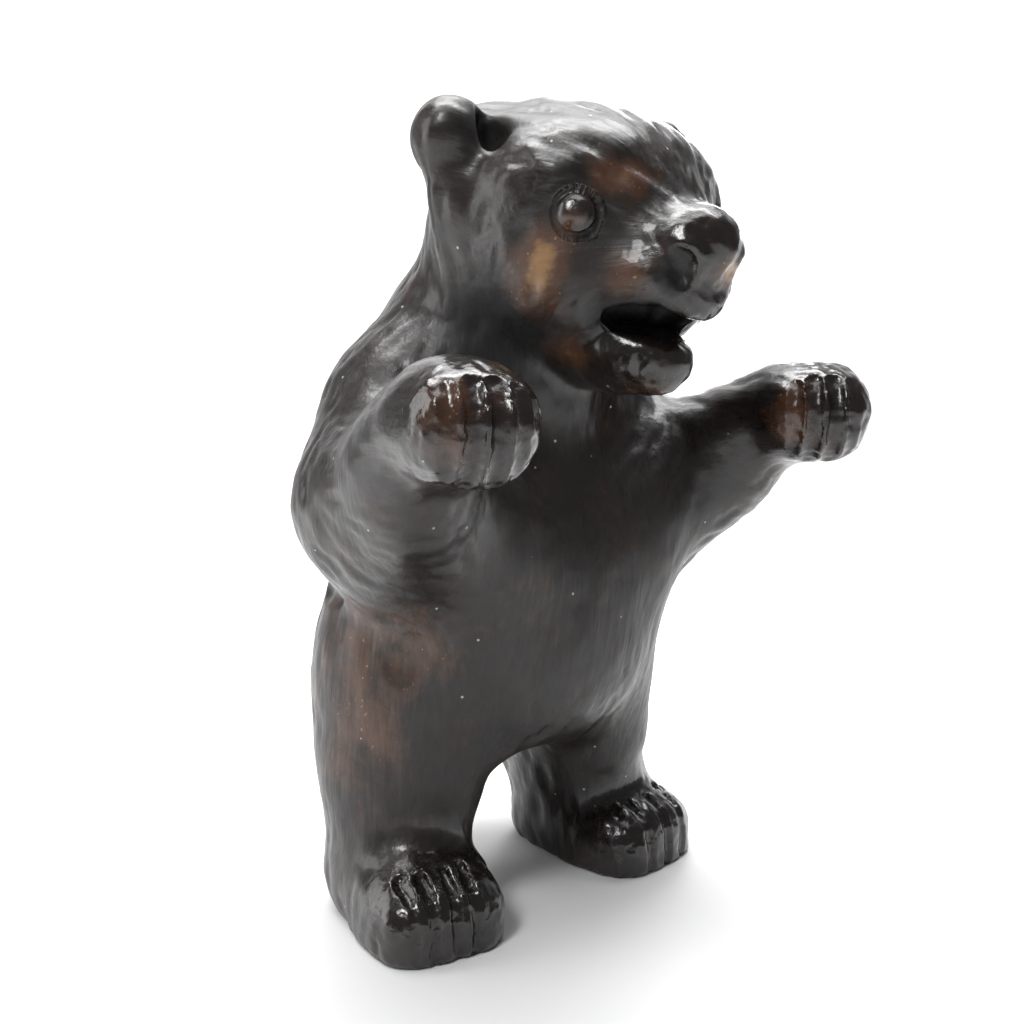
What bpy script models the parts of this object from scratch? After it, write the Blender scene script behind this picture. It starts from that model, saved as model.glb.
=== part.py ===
"""Standing bear, modelled and fired as one glazed ceramic solid."""

import math

import bmesh
import bpy
import numpy as np
from mathutils import Matrix

# Driving dimensions: height in metres, then the form in units of its own
HEIGHT = 0.200
FORM_HEIGHT = 196.61
FORM_CENTRE = (0.18, -8.42)
UNIT = HEIGHT / FORM_HEIGHT

# Meshing
COARSE_VOXEL = 2.6
FINE_VOXEL = 1.1
TRIANGLES = 9600
SOLE_BAND = 0.12

# The head stands a little off the middle
HEAD_SHIFT = (1.5, 0.0, 0.0)

# Feet, paws and ears by side: feet and paws give their turn about z and their centre first
FEET = {
    -1: (-10.0, (-38.0, -28.0, 0.0), 16.5, (-9.9, -5.1, 0.5, 5.4)),
    1: (7.6, (35.5, -23.5, 0.0), 17.5, (-12.0, -6.8, 0.3, 7.5)),
}
PAWS = {-1: (-20.0, (-53.0, -53.5, 123.5)), 1: (-40.0, (53.0, -53.5, 123.5))}
PAW_DROOP = 20.0
FINGER_PITCH = 4.9
EARS = {-1: (-30.5, -15.0, 185.0), 1: (31.8, -17.5, 188.0)}

# Width and depth of the scooped grooves, and the ring and sunk bead of an eye
TOE_GROOVE = (1.8, 1.5)
FINGER_GROOVE = (2.4, 1.6)
EYE_RING = (4.5, 0.6)
EYE_BEAD = 4.8
EYE_SUNK = 2.7

# Glaze
GLAZE_COLOUR = (0.030, 0.018, 0.012, 1.0)
GLAZE_ROUGHNESS = 0.28


def turned(z=0.0, x=0.0, y=0.0):
    """Rotation from degrees: about x, then y, then z."""
    turn = Matrix.Rotation(math.radians(z), 3, "Z")
    turn = turn @ Matrix.Rotation(math.radians(y), 3, "Y")
    turn = turn @ Matrix.Rotation(math.radians(x), 3, "X")
    return np.array(turn)


STILL = (np.eye(3), np.zeros(3))


def length(q):
    return np.sqrt(np.einsum("ij,ij->i", q, q))


class Ellipsoid:
    """A turned ellipsoid; a power above 2 squares it off."""

    def __init__(self, centre, radii, turn=None, power=2.0):
        self.centre = np.array(centre, float)
        self.radii = np.array(radii, float)
        self.turn = np.eye(3) if turn is None else turn
        self.power = power

    def moved(self, place):
        turn, shift = place
        return Ellipsoid(turn @ self.centre + shift, self.radii, turn @ self.turn, self.power)

    def distance(self, p):
        q = np.abs((p - self.centre) @ self.turn) / self.radii
        if self.power == 2.0:
            near = np.maximum(length(q), 1e-6)
            slope = length(q / self.radii) / near
        else:
            near = np.maximum((q ** self.power).sum(axis=1) ** (1.0 / self.power), 1e-6)
            ratio = q / near[:, None]
            slope = length(ratio ** (self.power - 1.0) / self.radii)
        return (near - 1.0) / np.maximum(slope, 1e-9)


class Limb:
    """A smooth chain of round cones through (x, y, z, radius) stations."""

    def __init__(self, *stations, steps=5):
        self.stations = np.array(stations, float)
        if len(self.stations) > 2:
            self.stations = smooth_chain(self.stations, steps)

    def moved(self, place):
        turn, shift = place
        out = self.stations.copy()
        out[:, :3] = out[:, :3] @ turn.T + shift
        copy = Limb(*out[:2])
        copy.stations = out
        return copy

    def distance(self, p):
        best = None
        for a, b in zip(self.stations[:-1], self.stations[1:]):
            span = np.linalg.norm(b[:3] - a[:3])
            axis = (b[:3] - a[:3]) / span
            flare = np.clip((b[3] - a[3]) / span, -0.9, 0.9)
            q = p - a[:3]
            along = q @ axis
            across = np.sqrt(np.maximum(np.einsum("ij,ij->i", q, q) - along ** 2, 0.0))
            t = np.clip(along + across * flare / math.sqrt(1.0 - flare ** 2), 0.0, span)
            gap = np.hypot(along - t, across) - (a[3] + t * flare)
            best = gap if best is None else np.minimum(best, gap)
        return best


def smooth_chain(stations, steps):
    """Stations of a curve that runs smoothly through the given ones."""
    ends = np.vstack([2 * stations[0] - stations[1], stations, 2 * stations[-1] - stations[-2]])
    out = []
    for a, b, c, d in zip(ends[:-3], ends[1:-2], ends[2:-1], ends[3:]):
        for i in range(steps):
            t = i / steps
            bend = (2 * a - 5 * b + 4 * c - d) * t ** 2 + (3 * b - a - 3 * c + d) * t ** 3
            out.append(b + 0.5 * ((c - a) * t + bend))
    return np.array(out + [stations[-1]])


class Ring:
    """A torus about a turned axis."""

    def __init__(self, centre, axis, radius, tube):
        self.centre = np.array(centre, float)
        self.axis = np.array(axis, float) / np.linalg.norm(axis)
        self.radius = radius
        self.tube = tube

    def moved(self, place):
        turn, shift = place
        return Ring(turn @ self.centre + shift, turn @ self.axis, self.radius, self.tube)

    def distance(self, p):
        q = p - self.centre
        along = q @ self.axis
        across = length(q - along[:, None] * self.axis) - self.radius
        return np.hypot(across, along) - self.tube


class Form:
    """Shapes blended, carved and scored in order into one closed surface."""

    def __init__(self):
        self.steps = []
        self.place = STILL

    def add(self, shape, blend):
        self.steps.append(("add", shape.moved(self.place), blend))

    def cut(self, shape, blend):
        self.steps.append(("cut", shape.moved(self.place), blend))

    def score(self, shape, width, depth):
        """A scooped groove along the shape's line; a negative depth raises a ridge."""
        self.steps.append(("score", shape.moved(self.place), (width, depth)))

    def value(self, points):
        out = np.empty(len(points))
        for i in range(0, len(points), 8192):
            out[i:i + 8192] = self.value_of(points[i:i + 8192])
        return out

    def value_of(self, p):
        total = np.full(len(p), 1e3)
        for kind, shape, amount in self.steps:
            d = shape.distance(p)
            if kind == "add":
                total = smooth_min(total, d, amount)
            elif kind == "cut":
                total = -smooth_min(-total, d, amount)
            else:
                width, depth = amount
                total = total + depth * np.clip(1.0 - (d / width) ** 2, 0.0, 1.0)
        return -smooth_min(-total, p[:, 2], 1.2)

    def gradient(self, points, step=0.05):
        corners = np.array([(1, -1, -1), (-1, -1, 1), (-1, 1, -1), (1, 1, 1)], float)
        slope = np.zeros_like(points)
        for corner in corners:
            slope += corner * self.value(points + corner * step)[:, None]
        return slope / (4.0 * step)


def smooth_min(a, b, blend):
    if blend <= 0.0:
        return np.minimum(a, b)
    mix = np.maximum(blend - np.abs(a - b), 0.0) / blend
    return np.minimum(a, b) - mix * mix * blend / 4.0


def torso(form):
    form.add(Ellipsoid((0, 9, 63), (46.5, 41, 31)), 0)
    form.add(Ellipsoid((0, 6, 84), (41.5, 40, 36)), 12)
    form.add(Ellipsoid((0, 10, 112), (39, 32, 34)), 14)
    form.add(Ellipsoid((0, 9, 128), (35, 25, 24)), 10)
    form.add(Limb((0, 2, 141, 29.5), (1, -13, 164, 24.5)), 12)
    form.add(Ellipsoid((0, 46, 50), (7, 7, 7)), 8)


def leg(form, side):
    form.add(Ellipsoid((side * 27.5, 10, 44), (20.5, 27, 30)), 10)
    form.add(Limb((side * 29, 8, 30, 19), (side * 31, 8, 12, 17.5)), 8)


def foot(form, side):
    turn, centre, half_width, grooves = FEET[side]
    form.place = (turned(z=turn), np.array(centre))
    form.add(Ellipsoid((0, 14.5, 4), (half_width, 15, 12.5), power=3.2), 3)
    form.add(Ellipsoid((0, 24, 9), (half_width - 1, 18, 15)), 8)
    form.add(Ellipsoid((0, 35, 6), (14, 17, 14)), 8)
    for x in grooves:
        line = Limb((x, 10, 17.5, 0), (x, 2, 14.5, 0), (x, -0.5, 9, 0), (x, -0.5, 2, 0), steps=2)
        form.score(line, *TOE_GROOVE)
    form.place = STILL


def arm(form, side):
    form.add(Limb((side * 29.5, 5, 122, 19.5), (side * 41, -1, 104, 18.5)), 12)
    form.add(Ellipsoid((side * 26, -8, 95), (15, 24, 22)), 16)
    form.add(Limb((side * 40, -6, 100, 16), (side * 48, -26, 113, 15), (side * 53, -43, 122.5, 12.5)), 14)
    form.add(Limb((side * 36, -11, 94, 12.5), (side * 49, -30, 104, 8)), 12)


def paw(form, side):
    turn, centre = PAWS[side]
    form.place = (turned(z=turn, x=PAW_DROOP), np.array(centre))
    form.add(Ellipsoid((0, 0, 0), (13.5, 13.5, 12), power=2.3), 6)
    for i in range(4):
        x = (i - 1.5) * FINGER_PITCH
        line = Limb((x, -7, 11, 0), (x, -12, 5, 0), (x, -13, -3, 0), (x, -11, -9, 0), steps=2)
        form.score(line, *FINGER_GROOVE)
    form.place = STILL


def head(form):
    form.place = (np.eye(3), np.array(HEAD_SHIFT))
    form.add(Ellipsoid((0, -18, 168), (32.5, 29.5, 28.5)), 8)
    form.add(Ellipsoid((0, -36, 172), (29, 18, 17.5)), 8)
    form.add(Limb((0, -40, 161, 17), (0, -53, 157.5, 13)), 10)
    for side in (-1, 1):
        form.add(Ellipsoid((side * 14, -34, 154), (14, 16, 15)), 8)
        form.add(Ellipsoid((side * 7, -49, 152), (9, 12, 7)), 6)
    form.add(Ellipsoid((0, -58, 150), (8, 8, 8)), 4)
    form.add(Ellipsoid((0, -61, 159), (10, 9, 9)), 3)
    mouth(form)
    for side in (-1, 1):
        ear(form, side)
        nostril(form, side)
        eye(form, side)
    form.place = STILL


def mouth(form):
    """Lower jaw, the open slot above it, and the tongue that fills its floor."""
    form.add(Limb((0, -28, 145, 14), (0, -40, 139.5, 12), (0, -50, 135, 7.5)), 4)
    form.cut(Ellipsoid((0, -56, 141.5), (13, 18, 3.2), turned(x=16)), 3)
    form.cut(Ellipsoid((0, -49, 146), (13.5, 11, 5.2), turned(x=6)), 2.5)
    form.add(Ellipsoid((0, -43, 138), (10.5, 12.5, 5), turned(x=12)), 4)


def eye(form, side):
    centre = np.array((side * 21.8, -47.2, 165.5))
    axis = np.array((side * 0.6, -0.8, 0.0))
    form.cut(Ring(centre, axis, *EYE_RING), 0.3)
    form.add(Ellipsoid(centre - EYE_SUNK * axis, (EYE_BEAD, EYE_BEAD, EYE_BEAD)), 0.2)


def nostril(form, side):
    form.cut(Ellipsoid((side * 9.6, -65.2, 153.8), (3.4, 3.4, 4.8), turned(y=side * 25)), 0.8)


def ear(form, side):
    x, y, z = EARS[side]
    form.add(Limb((x - side * 2.5, y + 6, z, 6.5), (side * 14, -8, 187.5, 8)), 5)
    form.add(Limb((x, y, z, 8.5), (x - side * 2, y, z - 13, 5.5), (x - side * 7, y + 1, z - 27, 3)), 6)
    form.cut(Ellipsoid((x - side * 5, y - 8, z + 1), (3.2, 6.5, 6.5), turned(z=side * 12)), 2)


def bear():
    form = Form()
    torso(form)
    for side in (-1, 1):
        leg(form, side)
        foot(form, side)
    form.cut(Ellipsoid((-2.5, 10, 2), (13.5, 70, 38.5), power=2.6), 6)
    for side in (-1, 1):
        arm(form, side)
        paw(form, side)
    head(form)
    return form


def primitive(shape):
    """Spheres along an added shape, as mesh objects."""
    if isinstance(shape, Ellipsoid):
        bpy.ops.mesh.primitive_uv_sphere_add(segments=24, ring_count=12, radius=1.0)
        ball = bpy.context.object
        spread = Matrix(shape.turn.tolist()).to_4x4() @ Matrix.Diagonal((*shape.radii, 1.0))
        ball.data.transform(Matrix.Translation(shape.centre.tolist()) @ spread)
        return [ball]
    balls = []
    for a, b in zip(shape.stations[:-1], shape.stations[1:]):
        for t in np.linspace(0.0, 1.0, 4):
            x, y, z, radius = a + t * (b - a)
            bpy.ops.mesh.primitive_uv_sphere_add(segments=20, ring_count=10, radius=radius)
            ball = bpy.context.object
            ball.data.transform(Matrix.Translation((x, y, z)))
            balls.append(ball)
    return balls


def join(objects, name):
    bpy.ops.object.select_all(action="DESELECT")
    for item in objects:
        item.select_set(True)
    bpy.context.view_layer.objects.active = objects[0]
    bpy.ops.object.join()
    objects[0].name = name
    objects[0].data.name = name
    return objects[0]


def apply_modifier(obj, kind, **values):
    modifier = obj.modifiers.new(kind.title(), kind)
    for key, value in values.items():
        setattr(modifier, key, value)
    bpy.context.view_layer.objects.active = obj
    bpy.ops.object.modifier_apply(modifier=modifier.name)


def settle(obj, form, rounds):
    """Move the vertices along the slope of the form onto its surface."""
    mesh = obj.data
    points = np.empty(len(mesh.vertices) * 3)
    mesh.vertices.foreach_get("co", points)
    points = points.reshape(-1, 3)
    for _ in range(rounds):
        value = form.value(points)
        slope = form.gradient(points)
        size = np.maximum((slope ** 2).sum(axis=1), 0.25)
        points -= np.clip(value / size, -1.5, 1.5)[:, None] * slope
    mesh.vertices.foreach_set("co", points.ravel())
    mesh.update()


def finish_mesh(obj):
    """Level the soles, weld, triangulate and bring the mesh to metres."""
    mesh = bmesh.new()
    mesh.from_mesh(obj.data)
    for vertex in mesh.verts:
        if vertex.co.z < SOLE_BAND:
            vertex.co.z = 0.0
    bmesh.ops.dissolve_degenerate(mesh, dist=0.05, edges=mesh.edges)
    bmesh.ops.triangulate(mesh, faces=mesh.faces)
    bmesh.ops.recalc_face_normals(mesh, faces=mesh.faces)
    shift = Matrix.Translation((-FORM_CENTRE[0], -FORM_CENTRE[1], 0.0))
    bmesh.ops.transform(mesh, matrix=Matrix.Scale(UNIT, 4) @ shift, verts=mesh.verts)
    mesh.to_mesh(obj.data)
    mesh.free()
    for polygon in obj.data.polygons:
        polygon.use_smooth = True


def glaze():
    material = bpy.data.materials.new("Dark brown glaze")
    material.use_nodes = True
    shader = material.node_tree.nodes["Principled BSDF"]
    shader.inputs["Base Color"].default_value = GLAZE_COLOUR
    shader.inputs["Roughness"].default_value = GLAZE_ROUGHNESS
    shader.inputs["Metallic"].default_value = 0.0
    return material


def main():
    for item in list(bpy.data.objects):
        bpy.data.objects.remove(item)
    form = bear()
    balls = []
    for kind, shape, _ in form.steps:
        if kind == "add":
            balls += primitive(shape)
    body = join(balls, "bear")
    apply_modifier(body, "REMESH", mode="VOXEL", voxel_size=COARSE_VOXEL)
    settle(body, form, 5)
    apply_modifier(body, "REMESH", mode="VOXEL", voxel_size=FINE_VOXEL)
    settle(body, form, 4)
    triangles = sum(len(polygon.vertices) - 2 for polygon in body.data.polygons)
    apply_modifier(body, "DECIMATE", decimate_type="COLLAPSE", ratio=TRIANGLES / triangles)
    settle(body, form, 2)
    finish_mesh(body)
    body.data.materials.clear()
    body.data.materials.append(glaze())
    collection = bpy.data.collections.new("Standing bear")
    bpy.context.scene.collection.children.link(collection)
    for old in list(body.users_collection):
        old.objects.unlink(body)
    collection.objects.link(body)


main()
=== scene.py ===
"""Visual model of a standing bear sculpture, modelled as one piece of dark glazed ceramic."""

import logging
import math
import random
from dataclasses import dataclass, field
from enum import Enum

import bmesh
import bpy
import numpy as np
from mathutils import Matrix, Vector, kdtree, noise


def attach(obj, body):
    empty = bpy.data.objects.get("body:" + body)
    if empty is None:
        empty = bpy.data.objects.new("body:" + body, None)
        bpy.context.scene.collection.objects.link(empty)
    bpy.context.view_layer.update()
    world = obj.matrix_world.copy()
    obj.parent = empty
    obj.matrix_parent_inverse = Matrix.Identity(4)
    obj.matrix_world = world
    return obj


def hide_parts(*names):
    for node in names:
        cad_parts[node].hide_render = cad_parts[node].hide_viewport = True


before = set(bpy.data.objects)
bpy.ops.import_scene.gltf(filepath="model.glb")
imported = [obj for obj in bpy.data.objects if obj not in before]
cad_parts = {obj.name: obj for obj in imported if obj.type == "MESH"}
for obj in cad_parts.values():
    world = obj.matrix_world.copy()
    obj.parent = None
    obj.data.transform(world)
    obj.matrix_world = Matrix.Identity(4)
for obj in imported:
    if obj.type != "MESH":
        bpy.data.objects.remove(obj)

LOG = logging.getLogger("bear")
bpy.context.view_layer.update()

# The form is drawn in units of its own, close to millimetres
HEIGHT = 0.200
FORM_HEIGHT = 196.61
FORM_CENTRE = (0.18, -8.42)
UNIT = HEIGHT / FORM_HEIGHT

RIGHT = -1
LEFT = 1
SIDES = (RIGHT, LEFT)

# The head stands a little to the bear's left of the middle plane
HEAD_SHIFT = (1.5, 0.0, 0.0)
EYES = ((-20.3, -47.2, 165.5), (23.3, -47.2, 165.5))


def turned(z: float = 0.0, x: float = 0.0, y: float = 0.0) -> np.ndarray:
    """Make a rotation about x, then y, then z.

    Args:
        z: Degrees about the upright axis.
        x: Degrees about the left to right axis.
        y: Degrees about the front to back axis.

    Returns:
        A 3 by 3 rotation matrix.
    """
    turn = Matrix.Rotation(math.radians(z), 3, "Z")
    turn = turn @ Matrix.Rotation(math.radians(y), 3, "Y")
    turn = turn @ Matrix.Rotation(math.radians(x), 3, "X")
    return np.array(turn)


def length(rows: np.ndarray) -> np.ndarray:
    """Return the length of each row."""
    return np.sqrt(np.einsum("ij,ij->i", rows, rows))


def smooth_min(a: np.ndarray, b: np.ndarray, blend: float) -> np.ndarray:
    """Take the smaller of two distances with a rounded join.

    Args:
        a: First distances.
        b: Second distances.
        blend: Width over which the two run together.

    Returns:
        The blended distances.
    """
    if blend <= 0.0:
        return np.minimum(a, b)
    mix = np.maximum(blend - np.abs(a - b), 0.0) / blend
    return np.minimum(a, b) - mix * mix * blend / 4.0


@dataclass(frozen=True)
class Place:
    """A turn and a shift that carry a shape to where it belongs.

    Attributes:
        turn: Rotation matrix.
        shift: Offset added after the turn.
    """

    turn: np.ndarray = field(default_factory=lambda: np.eye(3))
    shift: np.ndarray = field(default_factory=lambda: np.zeros(3))

    def point(self, p: tuple[float, float, float]) -> np.ndarray:
        """Carry one point."""
        return self.turn @ np.array(p, float) + self.shift


class Ellipsoid:
    """A turned ellipsoid; a power above 2 squares it off."""

    def __init__(
        self,
        centre: tuple[float, float, float],
        radii: tuple[float, float, float],
        turn: np.ndarray | None = None,
        power: float = 2.0,
    ) -> None:
        """Keep the shape's centre, radii, turn and power.

        Args:
            centre: Middle of the ellipsoid.
            radii: Half its size along each of its own axes.
            turn: Rotation matrix, or None for no turn.
            power: 2 for an ellipsoid, more for a squarer shape.
        """
        self.centre = np.array(centre, float)
        self.radii = np.array(radii, float)
        self.turn = np.eye(3) if turn is None else turn
        self.power = power

    def moved(self, place: Place) -> "Ellipsoid":
        """Return the shape carried by a place."""
        return Ellipsoid(place.point(self.centre), self.radii, place.turn @ self.turn, self.power)

    def reach(self) -> tuple[np.ndarray, float]:
        """Return the centre and radius of a ball that holds the shape."""
        return self.centre, float(self.radii.max()) * 1.3

    def distance(self, p: np.ndarray) -> np.ndarray:
        """Measure signed distances.

        Args:
            p: Points, one per row.

        Returns:
            Approximate distances, negative inside.
        """
        q = np.abs((p - self.centre) @ self.turn) / self.radii
        if self.power == 2.0:
            near = np.maximum(length(q), 1e-6)
            slope = length(q / self.radii) / near
        else:
            near = np.maximum((q ** self.power).sum(axis=1) ** (1.0 / self.power), 1e-6)
            ratio = q / near[:, None]
            slope = length(ratio ** (self.power - 1.0) / self.radii)
        return (near - 1.0) / np.maximum(slope, 1e-9)


class Limb:
    """A smooth chain of round cones through (x, y, z, radius) stations."""

    def __init__(self, *stations: tuple[float, float, float, float], steps: int = 5) -> None:
        """Keep the stations, with a smooth curve through three or more.

        Args:
            stations: Rows of x, y, z and radius.
            steps: Points for each stretch of the curve.
        """
        self.stations = np.array(stations, float)
        if len(self.stations) > 2:
            self.stations = smooth_chain(self.stations, steps)

    def moved(self, place: Place) -> "Limb":
        """Return the limb carried by a place.

        Args:
            place: Turn and shift.

        Returns:
            The moved limb.
        """
        out = self.stations.copy()
        out[:, :3] = out[:, :3] @ place.turn.T + place.shift
        copy = Limb(*out[:2])
        copy.stations = out
        return copy

    def reach(self) -> tuple[np.ndarray, float]:
        """Return the centre and radius of a ball that holds the limb."""
        centre = self.stations[:, :3].mean(axis=0)
        return centre, float((length(self.stations[:, :3] - centre) + self.stations[:, 3]).max())

    def distance(self, p: np.ndarray) -> np.ndarray:
        """Measure signed distances.

        Args:
            p: Points, one per row.

        Returns:
            Distances, negative inside.
        """
        best = np.full(len(p), 1e9)
        for a, b in zip(self.stations[:-1], self.stations[1:]):
            span = np.linalg.norm(b[:3] - a[:3])
            axis = (b[:3] - a[:3]) / span
            flare = float(np.clip((b[3] - a[3]) / span, -0.9, 0.9))
            q = p - a[:3]
            along = q @ axis
            across = np.sqrt(np.maximum(np.einsum("ij,ij->i", q, q) - along ** 2, 0.0))
            t = np.clip(along + across * flare / math.sqrt(1.0 - flare ** 2), 0.0, span)
            best = np.minimum(best, np.hypot(along - t, across) - (a[3] + t * flare))
        return best


class Ring:
    """A torus about a turned axis."""

    def __init__(
        self, centre: np.ndarray, axis: np.ndarray, radius: float, tube: float
    ) -> None:
        """Keep the ring's centre, axis and two radii.

        Args:
            centre: Middle of the ring.
            axis: Direction that the ring faces.
            radius: Radius of the ring.
            tube: Radius of its tube.
        """
        self.centre = np.array(centre, float)
        self.axis = np.array(axis, float) / np.linalg.norm(axis)
        self.radius = radius
        self.tube = tube

    def moved(self, place: Place) -> "Ring":
        """Return the ring carried by a place."""
        return Ring(place.point(self.centre), place.turn @ self.axis, self.radius, self.tube)

    def reach(self) -> tuple[np.ndarray, float]:
        """Return the centre and radius of a ball that holds the ring."""
        return self.centre, self.radius + self.tube

    def distance(self, p: np.ndarray) -> np.ndarray:
        """Measure signed distances.

        Args:
            p: Points, one per row.

        Returns:
            Distances, negative inside.
        """
        q = p - self.centre
        along = q @ self.axis
        across = length(q - along[:, None] * self.axis) - self.radius
        return np.hypot(across, along) - self.tube


Shape = Ellipsoid | Limb | Ring


def smooth_chain(stations: np.ndarray, steps: int) -> np.ndarray:
    """Run a curve smoothly through stations.

    Args:
        stations: Rows of x, y, z and radius.
        steps: Points for each stretch.

    Returns:
        The curve's own rows.
    """
    ends = np.vstack([2 * stations[0] - stations[1], stations, 2 * stations[-1] - stations[-2]])
    out = []
    for a, b, c, d in zip(ends[:-3], ends[1:-2], ends[2:-1], ends[3:]):
        for i in range(steps):
            t = i / steps
            bend = (2 * a - 5 * b + 4 * c - d) * t ** 2 + (3 * b - a - 3 * c + d) * t ** 3
            out.append(b + 0.5 * ((c - a) * t + bend))
    return np.array(out + [stations[-1]])


class Tool(Enum):
    """What a step does to the clay."""

    ADD = "add"
    CUT = "cut"
    SCORE = "score"


def neighbourhoods(points: np.ndarray, size: int = 1500) -> list[np.ndarray]:
    """Split points into compact groups.

    Args:
        points: Points, one per row.
        size: The most points in a group.

    Returns:
        Row numbers of each group.
    """
    waiting = [np.arange(len(points))]
    groups = []
    while waiting:
        rows = waiting.pop()
        if len(rows) <= size:
            groups.append(rows)
            continue
        part = points[rows]
        widest = int(np.argmax(part.max(axis=0) - part.min(axis=0)))
        order = np.argpartition(part[:, widest], len(rows) // 2)
        waiting.append(rows[order[: len(rows) // 2]])
        waiting.append(rows[order[len(rows) // 2:]])
    return groups


class Form:
    """Clay masses blended, carved and scored in order into one closed surface."""

    FAR = {Tool.ADD: 24.0, Tool.CUT: 12.0, Tool.SCORE: 4.0}

    def __init__(self) -> None:
        """Start with no clay."""
        self.steps: list[tuple[Tool, Shape, tuple[float, ...]]] = []
        self.place = Place()

    def add(self, shape: Shape, blend: float) -> None:
        """Press a mass of clay on."""
        self.steps.append((Tool.ADD, shape.moved(self.place), (blend,)))

    def cut(self, shape: Shape, blend: float) -> None:
        """Scoop a hollow out."""
        self.steps.append((Tool.CUT, shape.moved(self.place), (blend,)))

    def score(self, shape: Shape, width: float, depth: float) -> None:
        """Draw a scooped groove along a line; a negative depth raises a ridge."""
        self.steps.append((Tool.SCORE, shape.moved(self.place), (width, depth)))

    def value(self, points: np.ndarray) -> np.ndarray:
        """Measure distances to the surface, exact only near it.

        Args:
            points: Points, one per row.

        Returns:
            Distances, negative inside.
        """
        out = np.empty(len(points))
        for rows in neighbourhoods(points):
            out[rows] = self._value_of(points[rows])
        return out

    def _value_of(self, p: np.ndarray) -> np.ndarray:
        """Measure one compact group of points.

        Args:
            p: Points that lie close together.

        Returns:
            Distances, negative inside.
        """
        low, high = p.min(axis=0), p.max(axis=0)
        total = np.full(len(p), 1e3)
        for tool, shape, amount in self.steps:
            centre, radius = shape.reach()
            gap = np.linalg.norm(np.maximum(np.maximum(low - centre, centre - high), 0.0))
            if gap - radius > self.FAR[tool]:
                continue
            d = shape.distance(p)
            if tool is Tool.ADD:
                total = smooth_min(total, d, amount[0])
            elif tool is Tool.CUT:
                total = -smooth_min(-total, d, amount[0])
            else:
                width, depth = amount
                total = total + depth * np.clip(1.0 - (d / width) ** 2, 0.0, 1.0)
        return -smooth_min(-total, p[:, 2], 1.2)

    def gradient(self, points: np.ndarray, step: float = 0.05) -> np.ndarray:
        """Find the slope of the distance.

        Args:
            points: Points, one per row.
            step: Half the spacing of the samples.

        Returns:
            One slope vector per row.
        """
        slope = np.zeros_like(points)
        for corner in ((1, -1, -1), (-1, -1, 1), (-1, 1, -1), (1, 1, 1)):
            away = np.array(corner, float)
            slope += away * self.value(points + away * step)[:, None]
        return slope / (4.0 * step)


@dataclass
class Torso:
    """Hips, belly, chest, shoulders, neck and tail.

    Attributes:
        masses: Centre, radii and blend of each mass, from the hips up.
        neck: Stations of the neck.
    """

    masses: tuple = (
        ((0, 9, 63), (46.5, 41, 31), 0),
        ((0, 6, 84), (41.5, 40, 36), 12),
        ((0, 10, 112), (39, 32, 34), 14),
        ((0, 9, 128), (35, 25, 24), 10),
    )
    neck: tuple = ((0, 2, 141, 29.5), (1, -13, 164, 24.5))

    def model(self, form: Form) -> None:
        """Press the masses of the body together.

        Args:
            form: The clay to work on.
        """
        for centre, radii, blend in self.masses:
            form.add(Ellipsoid(centre, radii), blend)
        form.add(Limb(*self.neck), 12)
        form.add(Ellipsoid((0, 46, 50), (7, 7, 7)), 8)


@dataclass
class Leg:
    """A thigh and shin with a scored foot.

    Attributes:
        side: RIGHT or LEFT.
        turn: Degrees by which the foot turns about the upright axis.
        toe_line: Middle of the front edge of the foot, on the floor.
        half_width: Half the width of the foot.
        grooves: Places of the toe grooves across the foot.
        groove: Width and depth of a groove.
    """

    side: int
    turn: float
    toe_line: tuple[float, float, float]
    half_width: float
    grooves: tuple[float, ...]
    groove: tuple[float, float] = (1.7, 2.0)

    def model(self, form: Form) -> None:
        """Build the leg down to its flat sole.

        Args:
            form: The clay to work on.
        """
        side = self.side
        form.add(Ellipsoid((side * 27.5, 10, 44), (20.5, 27, 30)), 10)
        form.add(Limb((side * 29, 8, 30, 19), (side * 31, 8, 12, 17.5)), 8)
        form.place = Place(turned(z=self.turn), np.array(self.toe_line))
        form.add(Ellipsoid((0, 14.5, 4), (self.half_width, 15, 12.5), power=3.2), 3)
        form.add(Ellipsoid((0, 24, 9), (self.half_width - 1, 18, 15)), 8)
        form.add(Ellipsoid((0, 35, 6), (14, 17, 14)), 8)
        for x in self.grooves:
            stations = ((x, 10, 17.5, 0), (x, 2, 14.5, 0), (x, -0.5, 9, 0), (x, -0.5, 2, 0))
            form.score(Limb(*stations, steps=2), *self.groove)
        form.place = Place()


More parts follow.
